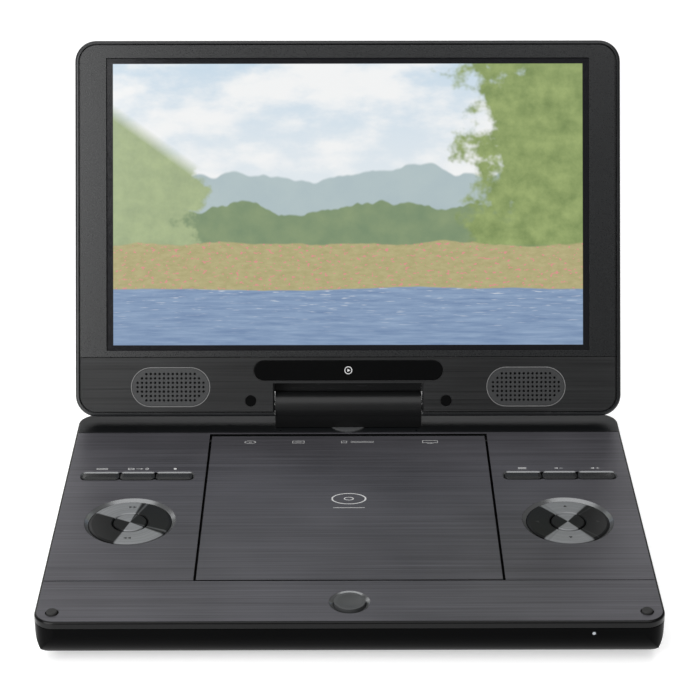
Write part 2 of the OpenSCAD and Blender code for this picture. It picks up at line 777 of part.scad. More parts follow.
module lead_screw() {
    turn = 3;
    color([0.78, 0.74, 0.6]) difference() {
        union() {
            bar_y(screw_x, 42, 103, screw_z, screw_r);
            bar_y(screw_x, 38.4, 109, screw_z, journal_r);
        }
        // thread grooves
        for (d = [44 : turn : 100]) translate([screw_x, front_y + d, screw_z]) rotate([-90, 0, 0])
            tube(0.8, screw_r + 1, screw_r - 0.25);
    }
}

module sled_motor() {
    color([0.7, 0.7, 0.72]) difference() {
        bar_y(screw_x, 106.4, 120, screw_z, 3.2);
        bar_y(screw_x, 106, 110, screw_z, journal_r + 0.05);
    }
}

// ---------- electronics ----------

module main_board() {
    board_z = 9.6;
    color([0.08, 0.28, 0.15]) base_box([42, 96, board_z], [137, 186, board_z + 1.6]);
    // supports down to the lower case
    for (p = [[50, 100], [50, 182], [112, 100], [112, 182]])
        color([0.75, 0.68, 0.4]) post(p[0], p[1], floor_z, board_z + e, 2.5);
    // chips and their shield
    color([0.75, 0.76, 0.78]) base_box([84, 120, board_z + 1.6 - e], [112, 148, board_z + 3.8]);
    color([0.1, 0.1, 0.1]) base_box([52, 150, board_z + 1.6 - e], [66, 164, board_z + 3]);
    color([0.1, 0.1, 0.1]) base_box([92, 158, board_z + 1.6 - e], [104, 176, board_z + 2.8]);
}

module battery_pack() {
    color([0.15, 0.2, 0.32]) for (i = [0 : 2])
        translate([-98, front_y + 50 + i * 41, floor_z]) slab(48, 40, 4, 9.5);
}

// A round socket body with a nose through the case's wall
module headphone_jacks() {
    color([0.1, 0.1, 0.1]) for (d = jack_places) difference() {
        union() {
            base_box([nose_x - jack_len - 1.6, d - 4, 11.3], [side_x - 6, d + 4, socket_z + 2.6]);
            bar_x(side_x - 7, nose_x, d, socket_z, 2.9);
        }
        bar_x(nose_x - jack_len, side_x + 1, d, socket_z, jack_r);
    }
}

module hdmi_socket() {
    color([0.72, 0.72, 0.74]) difference() {
        base_box([side_x - 13, hdmi_d - 5.8, socket_z - 1.9], [nose_x, hdmi_d + 5.8, socket_z + 1.9]);
        base_box([side_x - 11, hdmi_d - 5.2, socket_z - 1.3], [side_x, hdmi_d + 5.2, socket_z + 1.3]);
    }
    // contact tongue and mounting foot
    color([0.1, 0.1, 0.1]) base_box([side_x - 11.4, hdmi_d - 4, socket_z - 0.3],
                                    [side_x - 2, hdmi_d + 4, socket_z + 0.3]);
    color([0.1, 0.1, 0.1]) base_box([side_x - 13, hdmi_d - 4, 11.3],
                                    [side_x - 6, hdmi_d + 4, socket_z - 1.9 + e]);
}

module dc_jack() {
    color([0.1, 0.1, 0.1]) difference() {
        union() {
            base_box([side_x - 15, dc_d - 5, 11.3], [side_x - 6, dc_d + 5, socket_z + 3.6]);
            bar_x(side_x - 7, nose_x, dc_d, socket_z, 4.1);
        }
        bar_x(side_x - 12, side_x + 1, dc_d, socket_z, dc_r);
    }
    color([0.8, 0.8, 0.82]) bar_x(side_x - 12 - e, side_x - 1.6, dc_d, socket_z, 1);
}

module power_switch() {
    color([0.6, 0.6, 0.62]) difference() {
        base_box([side_x - 12, switch_d - 6.5, 11.3], [side_x - 5.6, switch_d + 6.5, socket_z + 3]);
        base_box([side_x - 7, switch_d - 5.4, socket_z - 1.7], [side_x, switch_d + 5.4, socket_z + 1.7]);
    }
}

module power_slider() {
    color([0.2, 0.2, 0.21]) {
        base_box([side_x - 6.8, switch_d - 5.1, socket_z - 1.4],
                 [side_x - 1, switch_d + 1.1, socket_z + 1.4]);
        // finger grooves
        for (i = [0 : 2])
            base_box([side_x - 1 - e, switch_d - 3.6 + i * 1.4, socket_z - 1.2],
                     [side_x - 0.5, switch_d - 3 + i * 1.4, socket_z + 1.2]);
    }
}

// ---------- the screen ----------

module rear_cover() {
    deep = lid_front + lid_back - 0.2;
    recess_w = block_w + 0.8;
    cheek = 2;
    color([0.06, 0.065, 0.07]) on_lid_middle() difference() {
        union() {
            difference() {
                translate([0, 0, -lid_back]) soft_slab(body_w, lid_h, lid_r, deep, front_round, back_round);
                translate([0, 0, -lid_back + tub_wall])
                    slab(body_w - 2 * tub_wall, lid_h - 2 * tub_wall, lid_r - tub_wall, deep);
            }
            // plates that close the sides and the top of the recess for the hinge block
            translate([-notch_w / 2 - cheek, -lid_h / 2 + tub_wall - e, tub_wall - lid_back - e])
                cube([notch_w + 2 * cheek, notch_h + cheek - tub_wall, panel_z + lid_back - tub_wall - gap]);
            for (x = [-plug_x, plug_x])
                translate([x, plug_up - lid_h / 2, tub_wall - lid_back - e])
                    cylinder(h = 3.5 + lid_back - tub_wall, r = 3.2);
        }
        // the recess, with the back wall left standing above the barrel
        translate([-recess_w / 2, -lid_h / 2 - 1, tub_wall - lid_back]) cube([recess_w, notch_h + 1, deep]);
        translate([-recess_w / 2, -lid_h / 2 - 1, -lid_back - 1]) cube([recess_w, back_open_h + 1, deep]);
        // bores for the tilt shafts
        translate([-notch_w / 2 - 5, axis_edge - lid_h / 2, 0]) rotate([0, 90, 0])
            cylinder(h = notch_w + 10, r = tilt_r + 0.3);
        for (x = [-plug_x, plug_x])
            translate([x, plug_up - lid_h / 2, tub_wall - lid_back + 1]) cylinder(h = 20, r = 1.15);
    }
}

// The outline of the bezel and the speaker panel together, drawn in from the housing
module front_outline(side_in, end_in, t) {
    translate([0, lid_h / 2, 0]) slab(body_w - 2 * side_in, lid_h - 2 * end_in, lid_r - side_in, t);
}

module front_bezel() {
    color([0.2, 0.21, 0.22]) on_lid() difference() {
        union() {
            translate([0, 0, bezel_z]) front_outline(bezel_in, bezel_in_end, lid_front - bezel_z);
            translate([0, 0, bezel_z - 1.4]) difference() {
                front_outline(flange_in, flange_in, 1.4 + e);
                translate([0, 0, -1]) front_outline(9, 5, 5);
            }
        }
        // everything below the seam belongs to the speaker panel
        translate([-side_x, -1, 0]) cube([body_w, seam_up + 1 + 0.15, 20]);
        translate([-window_w / 2, window_up, 0]) cube([window_w, window_h, 20]);
    }
}

module speaker_panel() {
    color([0.19, 0.2, 0.21]) on_lid() difference() {
        union() {
            translate([0, 0, panel_z + 0.8]) front_outline(bezel_in, bezel_in_end, lid_front - panel_z - 0.8);
            translate([0, 0, panel_z]) front_outline(flange_in, flange_in, 0.8 + e);
            for (x = [-plug_x, plug_x]) translate([x, plug_up, 3.6]) cylinder(h = panel_z - 3.6 + e, r = 4);
        }
        translate([-side_x, seam_up - 0.15, 0]) cube([body_w, lid_h, 20]);
        translate([-notch_w / 2, -1, 0]) cube([notch_w, notch_h + 1, 20]);
        for (x = [-speaker_x, speaker_x])
            translate([x, speaker_up, 0]) linear_extrude(20) stadium(grille_w + 0.2, grille_h + 0.2);
        // pocket for the nameplate
        translate([0, name_up, panel_z + 1]) linear_extrude(5) stadium(name_w + 0.4, name_h + 0.4);
        for (x = [-plug_x, plug_x]) translate([x, plug_up, 0]) {
            cylinder(h = 20, r = 1.4);
            translate([0, 0, 5]) cylinder(h = 20, r = plug_r + 0.1);
        }
    }
}

module nameplate() {
    color([0.04, 0.045, 0.05]) on_lid() translate([0, name_up, panel_z + 1]) linear_extrude(1.4)
        stadium(name_w, name_h);
}

// One perforated grille. Holes stay clear of the round ends.
module grille() {
    rows = 3;
    columns = 8;
    reach = grille_h / 2 - 1.9;
    difference() {
        linear_extrude(1) stadium(grille_w, grille_h);
        for (j = [-rows : rows], i = [-columns : columns - 1]) {
            x = (i + 0.5) * grille_pitch;
            y = j * grille_pitch;
            past_end = max(0, abs(x) - (grille_w - grille_h) / 2);
            if (norm([past_end, y]) < reach)
                translate([x, y, -1]) cylinder(h = 3, r = grille_hole_r, $fn = 24);
        }
    }
}

module speaker_grilles() {
    color([0.2, 0.21, 0.22]) on_lid() for (x = [-speaker_x, speaker_x])
        translate([x, speaker_up, lid_front - 1]) grille();
}

// Speaker drivers: a basket with its magnet, and the cone in it
module speakers() {
    color([0.25, 0.25, 0.26]) on_lid() for (x = [-speaker_x, speaker_x]) translate([x, speaker_up, 0]) {
        difference() {
            union() {
                translate([0, 0, panel_z - 1]) linear_extrude(1) stadium(46, 22.4);
                translate([0, 0, 1]) linear_extrude(panel_z - 1) stadium(38, 18);
                translate([0, 0, -4.5]) cylinder(h = 5.5 + e, r = 8);
            }
            translate([0, 0, 2]) linear_extrude(10) stadium(35, 15);
        }
        translate([0, 0, 4.4]) linear_extrude(1) stadium(34.6, 14.6);
    }
}

module display_panel() {
    color([0.3, 0.45, 0.6]) on_lid() translate([0, window_up + window_h / 2, glass_z - glass_t])
        slab(window_w + 4, window_h + 4, 1, glass_t);
}

// Pressed tray with the backlight, behind the panel
module backlight_frame() {
    deep = 3.6;
    color([0.7, 0.71, 0.73]) on_lid() translate([0, window_up + window_h / 2, glass_z - glass_t - deep])
        difference() {
            slab(window_w + 5, window_h + 4.6, 1, deep - 0.02);
            translate([0, 0, 0.8]) slab(window_w + 3, window_h + 2.6, 1, deep - 1.6);
        }
}

module display_board() {
    color([0.08, 0.28, 0.15]) on_lid() {
        translate([-66, 21.5, 0]) cube([132, 10, 1.6]);
        for (x = [-50, 50]) translate([x, 26.5, tub_wall - lid_back])
            cylinder(h = lid_back - tub_wall + e, r = 2);
    }
    color([0.1, 0.1, 0.1]) on_lid() for (x = [-34, 12]) translate([x, 23.5, 1.6 - e]) cube([9, 6, 1.2]);
}

module lid_plugs() {
    color([0.07, 0.07, 0.08]) on_lid() for (x = [-plug_x, plug_x])
        translate([x, plug_up, 7.2]) cylinder(h = lid_front - 7.2 + 0.1, r = plug_r);
}

module lid_screws() {
    color([0.5, 0.5, 0.52]) on_lid() for (x = [-plug_x, plug_x]) translate([x, plug_up, 0]) {
        translate([0, 0, 5]) cylinder(h = 1.6, r = 2.4);
        translate([0, 0, -4]) cylinder(h = 9 + e, r = 1.1);
    }
}

// ---------- the hinge ----------

// Steel angles in the housing that carry the tilt shafts
module hinge_brackets() {
    color([0.6, 0.61, 0.63]) on_lid() for (side = [-1, 1]) difference() {
        union() {
            translate([side > 0 ? bracket_x : -bracket_x - 1.6, 2.4, -6.8]) cube([1.6, 15.6, 11]);
            translate([side > 0 ? bracket_x : -bracket_x - 16, 12.6, -6.8]) cube([16, 26.8, 1.2]);
        }
        translate([-60, axis_edge, 0]) rotate([0, 90, 0]) cylinder(h = 120, r = tilt_r + 0.02);
        // clearance round the display board's support
        translate([side * 50, 26.5, -8]) cylinder(h = 3, r = 2.4);
    }
}

module tilt_shafts() {
    color([0.7, 0.71, 0.73]) on_lid() for (side = [-1, 1])
        translate([side > 0 ? clip_x : -clip_x - shaft_len, axis_edge, 0]) rotate([0, 90, 0]) {
            cylinder(h = shaft_len, r = tilt_r);
            // collar outside the bracket
            translate([0, 0, side > 0 ? bracket_x + 1.8 - clip_x : clip_x + shaft_len - bracket_x - 3])
                cylinder(h = 1.2, r = 3.4);
        }
}

// Cross section of the hinge block: a round barrel on a body that reaches the deck
module block_section() {
    foot = axis_up - 0.5;
    circle(barrel_r);
    polygon([[-6.2, -foot], [6.2, -foot], [7.6, -2.2], [-7.6, -2.2]]);
}

module hinge_block() {
    color([0.1, 0.105, 0.11]) translate([0, axis_y, axis_z]) difference() {
        translate([-block_w / 2, 0, 0]) rotate([90, 0, 90]) linear_extrude(block_w) block_section();
        // seats of the friction clips, open at the block's ends
        for (side = [-1, 1]) translate([side > 0 ? clip_x - 0.4 : -60, 0, 0]) rotate([0, 90, 0])
            cylinder(h = 60 - clip_x + 0.4, r = clip_r + 0.1);
        translate([-60, 0, 0]) rotate([0, 90, 0]) cylinder(h = 120, r = tilt_r + run);
        // socket of the swivel tube
        translate([0, 0, -axis_up]) cylinder(h = 6.5, r = swivel_r + 0.02);
    }
}

// Sleeves that grip the tilt shafts
module friction_clips() {
    color([0.55, 0.56, 0.58]) for (side = [-1, 1])
        translate([side > 0 ? clip_x : -clip_x - clip_len, axis_y, axis_z]) rotate([0, 90, 0])
            tube(clip_len, clip_r, tilt_r + 0.02);
}

module turntable() {
    color([0.28, 0.28, 0.3]) translate([0, axis_y, deck_z - 1.1]) tube(1.6, turntable_r, swivel_r + 0.02);
}

module swivel_shaft() {
    color([0.7, 0.71, 0.73]) translate([0, axis_y, 0]) difference() {
        union() {
            translate([0, 0, 12.4]) cylinder(h = deck_z + 6.4 - 12.4, r = swivel_r);
            translate([0, 0, 13.2]) cylinder(h = 1.5, r = swivel_r + 1.5);
        }
        translate([0, 0, 10]) cylinder(h = 30, r = swivel_r - 1.8);
    }
}

lower_case();
upper_case();
disc_door();
door_latch();
open_button();
open_button_spring();
mode_key();
source_key();
stop_key();
setup_key();
volume_down_key();
volume_up_key();
transport_ring();
transport_rocker();
play_button();
navigation_ring();
navigation_rocker();
ok_button();
key_boards();
key_domes();
deck_bumpers();
status_led();
disc_well();
drive_chassis();
chassis_dampers();
spindle_motor();
spindle_hub();
laser_sled();
laser_lens();
sled_rods();
lead_screw();
sled_motor();
main_board();
hdmi_socket();
headphone_jacks();
dc_jack();
power_switch();
power_slider();
battery_pack();
rubber_feet();
case_screws();
rear_cover();
front_bezel();
speaker_panel();
nameplate();
speaker_grilles();
speakers();
display_panel();
backlight_frame();
display_board();
lid_plugs();
lid_screws();
hinge_brackets();
tilt_shafts();
hinge_block();
turntable();
swivel_shaft();
friction_clips();
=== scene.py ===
"""Looks for the portable disc player: camera, studio, materials, and the printed marks.

Everything is in metres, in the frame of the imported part: +Z up and the front towards -Y.
"""

import json
import math

import bmesh
import bpy
from mathutils import Matrix, Vector


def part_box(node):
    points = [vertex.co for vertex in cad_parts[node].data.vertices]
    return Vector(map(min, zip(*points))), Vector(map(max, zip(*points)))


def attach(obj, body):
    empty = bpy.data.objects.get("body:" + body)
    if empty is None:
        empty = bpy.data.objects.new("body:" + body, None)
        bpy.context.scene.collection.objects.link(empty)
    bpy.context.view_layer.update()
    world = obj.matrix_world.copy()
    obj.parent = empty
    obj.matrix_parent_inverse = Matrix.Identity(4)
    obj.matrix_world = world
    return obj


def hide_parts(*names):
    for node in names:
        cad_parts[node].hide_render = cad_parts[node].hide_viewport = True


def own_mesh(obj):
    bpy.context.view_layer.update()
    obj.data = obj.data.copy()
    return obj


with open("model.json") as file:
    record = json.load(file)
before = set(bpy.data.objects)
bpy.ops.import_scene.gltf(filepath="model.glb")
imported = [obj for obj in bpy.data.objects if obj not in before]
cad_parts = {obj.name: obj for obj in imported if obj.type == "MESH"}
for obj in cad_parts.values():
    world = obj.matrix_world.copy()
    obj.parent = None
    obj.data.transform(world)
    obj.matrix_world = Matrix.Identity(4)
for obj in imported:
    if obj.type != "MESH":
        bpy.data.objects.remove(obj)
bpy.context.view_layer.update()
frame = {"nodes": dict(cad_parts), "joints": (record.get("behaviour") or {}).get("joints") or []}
NODES = frame["nodes"]
MM = 0.001


# ---------------------------------------------------------------- places from the frame


def joint(name):
    """The joint of that name, as the record has it."""
    return next(j for j in frame["joints"] if j["name"] == name)


def middle(node):
    """The middle of a node's box at rest."""
    low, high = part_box(node)
    return (low + high) / 2


DECK_LOW, DECK_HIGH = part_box("upper_case")
DECK_Z = DECK_HIGH.z
FRONT_Y = DECK_LOW.y
HALF_W = DECK_HIGH.x
REAR_SEAM_Y = FRONT_Y + 187.3 * MM
TILT = joint("screen_tilt")
TILT_AXIS = Vector(TILT["pos_m"])
LEAN = math.radians(-TILT["range_deg"][0] - 90)
UP = Vector((0, math.sin(LEAN), math.cos(LEAN)))
# from the screen's own plane (x across, y up the screen, z out of its face) to the frame
LID = Matrix.Translation(TILT_AXIS) @ Matrix.Rotation(math.pi / 2 - LEAN, 4, "X")


def lid_box(node):
    """A screen node's lowest and highest corners in the screen's own plane."""
    inverse = LID.inverted()
    points = [inverse @ v.co for v in NODES[node].data.vertices]
    low = Vector([min(p[i] for p in points) for i in range(3)])
    high = Vector([max(p[i] for p in points) for i in range(3)])
    return low, high


# ---------------------------------------------------------------- node helpers


class Paint:
    """A procedural material built round one Principled shader."""

    def __init__(self, name, rough=0.5, metal=0.0, **fixed):
        self.mat = bpy.data.materials.new(name)
        self.mat.use_nodes = True
        self.tree = self.mat.node_tree
        self.shader = self.tree.nodes["Principled BSDF"]
        self.set("Roughness", rough)
        self.set("Metallic", metal)
        for socket, value in fixed.items():
            self.set(socket.replace("_", " "), value)
        self.place = self.node("ShaderNodeTexCoord").outputs["Object"]

    def set(self, socket, value):
        if isinstance(value, bpy.types.NodeSocket):
            self.tree.links.new(value, self.shader.inputs[socket])
        else:
            self.shader.inputs[socket].default_value = value

    def node(self, kind, inputs=None, **props):
        made = self.tree.nodes.new(kind)
        for key, value in props.items():
            setattr(made, key, value)
        for key, value in (inputs or {}).items():
            if isinstance(value, bpy.types.NodeSocket):
                self.tree.links.new(value, made.inputs[key])
            else:
                made.inputs[key].default_value = value
        return made

    def math(self, operation, a, b=0.0, c=0.0, clamp=False):
        node = self.node("ShaderNodeMath", {0: a, 1: b, 2: c}, operation=operation, use_clamp=clamp)
        return node.outputs[0]

    def span(self, value, low, high, to_low=0.0, to_high=1.0, smooth=False):
        """value carried from low..high to to_low..to_high, clamped."""
        kind = "SMOOTHSTEP" if smooth else "LINEAR"
        made = self.node("ShaderNodeMapRange", {0: value, 1: low, 2: high, 3: to_low, 4: to_high},
                         interpolation_type=kind)
        return made.outputs[0]

    def mix(self, share, a, b, blend="MIX"):
        made = self.node("ShaderNodeMix", {0: share, 6: a, 7: b}, data_type="RGBA", blend_type=blend)
        return made.outputs[2]

    def axis(self, direction, origin=(0, 0, 0)):
        """How far a point lies from origin along a direction."""
        moved = self.node("ShaderNodeVectorMath", {0: self.place, 1: origin}, operation="SUBTRACT")
        along = self.node("ShaderNodeVectorMath", {0: moved.outputs[0], 1: direction},
                          operation="DOT_PRODUCT")
        return along.outputs["Value"]

    def length(self, a, b):
        """The length of the vector (a, b)."""
        squares = self.math("ADD", self.math("MULTIPLY", a, a), self.math("MULTIPLY", b, b))
        return self.math("SQRT", squares)

    def noise(self, stretch, detail=3.0, rough=0.55, shift=(0, 0, 0), distort=0.0):
        """Noise with the given number of features per metre along each axis."""
        mapped = self.node("ShaderNodeMapping", {0: self.place, 1: shift, 3: stretch})
        made = self.node("ShaderNodeTexNoise", {"Vector": mapped.outputs[0], "Scale": 1.0, "Detail": detail,
                                                "Roughness": rough, "Distortion": distort})
        return made.outputs[0]

    def bump(self, height, depth, before=None):
        """Relief of the given depth in metres."""
        inputs = {"Strength": 1.0, "Distance": depth, "Height": height}
        if before is not None:
            inputs["Normal"] = before
        return self.node("ShaderNodeBump", inputs).outputs[0]

    def soft_edges(self, radius):
        """Normals that round every edge by a small radius."""
        return self.node("ShaderNodeBevel", {"Radius": radius}, samples=4).outputs[0]


def grey(value, warm=0.0):
    """A neutral colour, slightly blue where warm is negative."""
    return (value * (1 + warm), value, value * (1 - warm), 1)


# ---------------------------------------------------------------- materials


def streaks(paint, along=9.0, across=1500.0):
    """Brushed lines along X: fine ones over broader ones."""
    fine = paint.noise((along * 1.6, across * 2.2, across * 2.2), detail=2.0, rough=0.6)
    broad = paint.noise((along * 0.5, across * 0.55, across * 0.55), detail=3.0, rough=0.65, shift=(3, 7, 1))
    return paint.math("ADD", paint.math("MULTIPLY", fine, 0.5), paint.math("MULTIPLY", broad, 0.5))


def brushed(name, low, high, rough, metal, depth, edge=0.00015, **fixed):
    """Dark brushed surface with lines along X."""
    paint = Paint(name, rough, metal, **fixed)
    lines = streaks(paint)
    cloud = paint.noise((14, 14, 14), detail=2.0, shift=(5, 1, 2))
    tone = paint.span(paint.math("ADD", lines, paint.math("MULTIPLY", cloud, 0.35)), 0.48, 0.86)
    paint.set("Base Color", paint.mix(tone, grey(low, -0.02), grey(high, -0.03)))
    paint.set("Roughness", paint.span(lines, 0.3, 0.7, rough - 0.05, rough + 0.08))
    paint.set("Normal", paint.bump(lines, depth, paint.soft_edges(edge)))
    return paint.mat


def inside_deck(paint, margin):
    """1 at least that far inside the deck's rounded outline, 0 beyond it."""
    corner = 10 * MM
    half_d = (DECK_HIGH.y - DECK_LOW.y) / 2
    x = paint.math("ABSOLUTE", paint.axis((1, 0, 0)))
    y = paint.math("ABSOLUTE", paint.axis((0, 1, 0), (0, FRONT_Y + half_d, 0)))
    qx = paint.math("SUBTRACT", x, HALF_W - corner)
    qy = paint.math("SUBTRACT", y, half_d - corner)
    ox = paint.math("MAXIMUM", qx, 0.0)
    oy = paint.math("MAXIMUM", qy, 0.0)
    beyond = paint.length(ox, oy)
    within = paint.math("MINIMUM", paint.math("MAXIMUM", qx, qy), 0.0)
    out = paint.math("SUBTRACT", paint.math("ADD", beyond, within), corner)
    return paint.span(out, -margin - 0.0002, -margin, 1.0, 0.0)


def deck_metal(name, low, high):
    """The deck: brushed on its face, polished on its bevels, gloss black on its rim and its inside, with
    painted shade on the strip behind the rear seam.
    """
    paint = Paint(name, 0.4, 0.0, Specular_IOR_Level=0.2)
    lines = streaks(paint)
    cloud = paint.noise((14, 14, 14), detail=2.0, shift=(5, 1, 2))
    tone = paint.span(paint.math("ADD", lines, paint.math("MULTIPLY", cloud, 0.35)), 0.48, 0.86)
    height = paint.axis((0, 0, 1), (0, 0, DECK_Z))
    within = inside_deck(paint, 0.0011)
    top = paint.math("MULTIPLY", paint.span(height, -0.00012, -0.00004), within)
    facing = paint.node("ShaderNodeTexCoord").outputs["Normal"]
    upright = paint.node("ShaderNodeSeparateXYZ", {0: facing}).outputs[2]
    bevel = paint.math("MULTIPLY", paint.span(upright, 0.2, 0.3), paint.span(height, -0.0016, -0.0015))
    bevel = paint.math("MULTIPLY", paint.math("MULTIPLY", bevel, within), paint.math("SUBTRACT", 1.0, top))
    metal = paint.mix(tone, (low, low * 0.98, low * 1.1, 1), (high, high * 0.98, high * 1.1, 1))
    # painted shade and painted reflection: the strip behind the rear seam is darkened for the lid's shadow
    # and its dark reflection
    behind = paint.span(paint.axis((0, 1, 0), (0, REAR_SEAM_Y, 0)), 0, 0.0005)
    metal = paint.mix(behind, metal, grey(0.012, -0.1))
    dark = paint.mix(bevel, grey(0.004, -0.05), grey(0.2, -0.02))
    paint.set("Base Color", paint.mix(top, dark, metal))
    rough = paint.span(lines, 0.3, 0.7, 0.34, 0.48)
    paint.set("Roughness", paint.mix(top, grey(0.22), rough))
    top_metal = paint.math("MULTIPLY", top, 0.35)
    bevel_metal = paint.math("MULTIPLY", bevel, 0.7)
    paint.set("Metallic", paint.math("ADD", top_metal, bevel_metal))
    relief = paint.math("MULTIPLY", lines, top)
    paint.set("Normal", paint.bump(relief, 0.000025, paint.soft_edges(0.00018)))
    return paint.mat


def gloss_plastic(name, value, rough, specular=0.5, edge=0.0003):
    """Black gloss moulding: faint ripple, dust haze and hairline wear."""
    paint = Paint(name, rough, 0.0, Specular_IOR_Level=specular)
    ripple = paint.noise((220, 220, 220), detail=1.0)
    haze = paint.noise((35, 35, 35), detail=4.0, shift=(2, 9, 4))
    hair = paint.noise((60, 1900, 900), detail=1.0, shift=(1, 3, 8), distort=0.4)
    paint.set("Base Color", paint.mix(haze, grey(value * 0.8, -0.06), grey(value * 1.25, -0.06)))
    wear = paint.math("ADD", paint.math("MULTIPLY", haze, 0.5), paint.math("MULTIPLY", hair, 0.5))
    paint.set("Roughness", paint.span(wear, 0.35, 0.65, rough - 0.04, rough + 0.08))
    paint.set("Normal", paint.bump(ripple, 0.000006, paint.soft_edges(edge)))
    return paint.mat


def satin_plastic(name, value, rough, grain=2600.0, depth=0.000012, edge=0.0002, specular=0.4, warm=-0.03):
    """Moulded plastic with a fine spark-eroded grain."""
    paint = Paint(name, rough, 0.0, Specular_IOR_Level=specular)
    fine = paint.noise((grain, grain, grain), detail=2.0)
    cloud = paint.noise((40, 40, 40), detail=3.0, shift=(4, 4, 9))
    paint.set("Base Color", paint.mix(cloud, grey(value * 0.88, warm), grey(value * 1.12, warm)))
    paint.set("Roughness", paint.span(fine, 0.3, 0.7, rough - 0.06, rough + 0.06))
    paint.set("Normal", paint.bump(fine, depth, paint.soft_edges(edge)))
    return paint.mat


def rubber(name, value):
    """Dull rubber with a coarse grain and a little bloom."""
    paint = Paint(name, 0.8, 0.0, Specular_IOR_Level=0.3)
    grain = paint.noise((1800, 1800, 1800), detail=4.0)
    bloom = paint.noise((120, 120, 120), detail=4.0)
    paint.set("Base Color", paint.mix(bloom, grey(value * 0.8), grey(value * 1.4)))
    paint.set("Roughness", paint.span(bloom, 0.3, 0.7, 0.68, 0.86))
    paint.set("Normal", paint.bump(grain, 0.00003, paint.soft_edges(0.0002)))
    return paint.mat


def steel(name, value, rough, warm=0.0, lines=(300, 300, 4000)):
    """Bright metal with fine machining lines."""
    paint = Paint(name, rough, 1.0)
    cut = paint.noise(lines, detail=2.0)
    stain = paint.noise((90, 90, 90), detail=4.0, shift=(3, 3, 3))
    paint.set("Base Color", paint.mix(stain, grey(value * 0.85, warm), grey(value * 1.1, warm)))
    paint.set("Roughness", paint.span(cut, 0.3, 0.7, rough - 0.06, rough + 0.1))
    paint.set("Normal", paint.bump(cut, 0.000008, paint.soft_edges(0.0001)))
    return paint.mat


def spun_metal_painted_wedges(name, node, centre_deg, spread):
    """Spun metal: fine rings, painted highlights as two bright wedges with painted shade in the dark wedges
    between them, and dark edges and sides.
    """
    paint = Paint(name, 0.34, 0.0, Specular_IOR_Level=0.22)
    centre = middle(node)
    top_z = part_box(node)[1].z
    x = paint.axis((1, 0, 0), centre)
    y = paint.axis((0, 1, 0), centre)
    radius = paint.length(x, y)
    angle = paint.math("SUBTRACT", paint.math("ARCTAN2", y, x), math.radians(centre_deg))

    def ray(count, height):
        return paint.math("MULTIPLY", paint.math("SINE", paint.math("MULTIPLY", angle, count)), height)

    # painted highlight: two opposite bright wedges, with quick turns to painted shade between them
    wave = paint.math("COSINE", paint.math("MULTIPLY", angle, 2.0))
    ripple = paint.math("ADD", ray(13.0, 0.12), ray(31.0, 0.1))
    limit = math.cos(math.radians(spread))
    bright = paint.span(paint.math("ADD", wave, ripple), limit - 0.22, limit + 0.22, smooth=True)
    turns = paint.node("ShaderNodeCombineXYZ", {0: paint.math("MULTIPLY", radius, 5200.0),
                                                1: paint.math("MULTIPLY", bright, 0.4), 2: centre[0] * 100})
    noise = paint.node("ShaderNodeTexNoise", {"Vector": turns.outputs[0], "Scale": 1.0, "Detail": 2.0})
    rings = noise.outputs[0]
    # colours of the wedges: painted shade in the dark ones, painted highlight in the bright ones
    dark_wedge_shade = paint.mix(rings, grey(0.002, -0.03), grey(0.012, -0.03))
    painted_highlight = paint.mix(rings, grey(0.13, -0.03), grey(0.34, -0.03))
    face = paint.span(paint.axis((0, 0, 1), (0, 0, top_z)), -0.0009, -0.0007)
    paint.set("Base Color", paint.mix(face, grey(0.008), paint.mix(bright, dark_wedge_shade, painted_highlight)))
    paint.set("Metallic", paint.math("MULTIPLY", face, 0.2))
    paint.set("Roughness", paint.span(rings, 0.3, 0.7, 0.28, 0.42))
    paint.set("Normal", paint.bump(rings, 0.000012, paint.soft_edges(0.00012)))
    return paint.mat


def circuit_board(name):
    """Green board with darker tracks."""
    paint = Paint(name, 0.45, 0.0)
    cells = paint.node("ShaderNodeTexVoronoi", {"Vector": paint.place, "Scale": 420.0}, distance="MANHATTAN",
                       feature="F1")
    tracks = paint.span(cells.outputs["Distance"], 0.25, 0.35)
    paint.set("Base Color", paint.mix(tracks, (0.02, 0.12, 0.05, 1), (0.03, 0.2, 0.08, 1)))
    paint.set("Normal", paint.bump(tracks, 0.00003))
    return paint.mat


def lens(name):
    """Coated lens."""
    paint = Paint(name, 0.05, 0.0, Specular_IOR_Level=0.8)
    tint = paint.noise((300, 300, 300), detail=1.0)
    paint.set("Base Color", paint.mix(tint, (0.05, 0.06, 0.25, 1), (0.16, 0.08, 0.3, 1)))
    return paint.mat


def glowing(name, colour, strength):
    """A small lit window."""
    paint = Paint(name, 0.3, 0.0)
    grain = paint.noise((3000, 3000, 3000))
    paint.set("Base Color", paint.mix(grain, (0.2, 0.22, 0.24, 1), (0.3, 0.32, 0.34, 1)))
    paint.set("Emission Color", colour)
    paint.set("Emission Strength", strength)
    return paint.mat


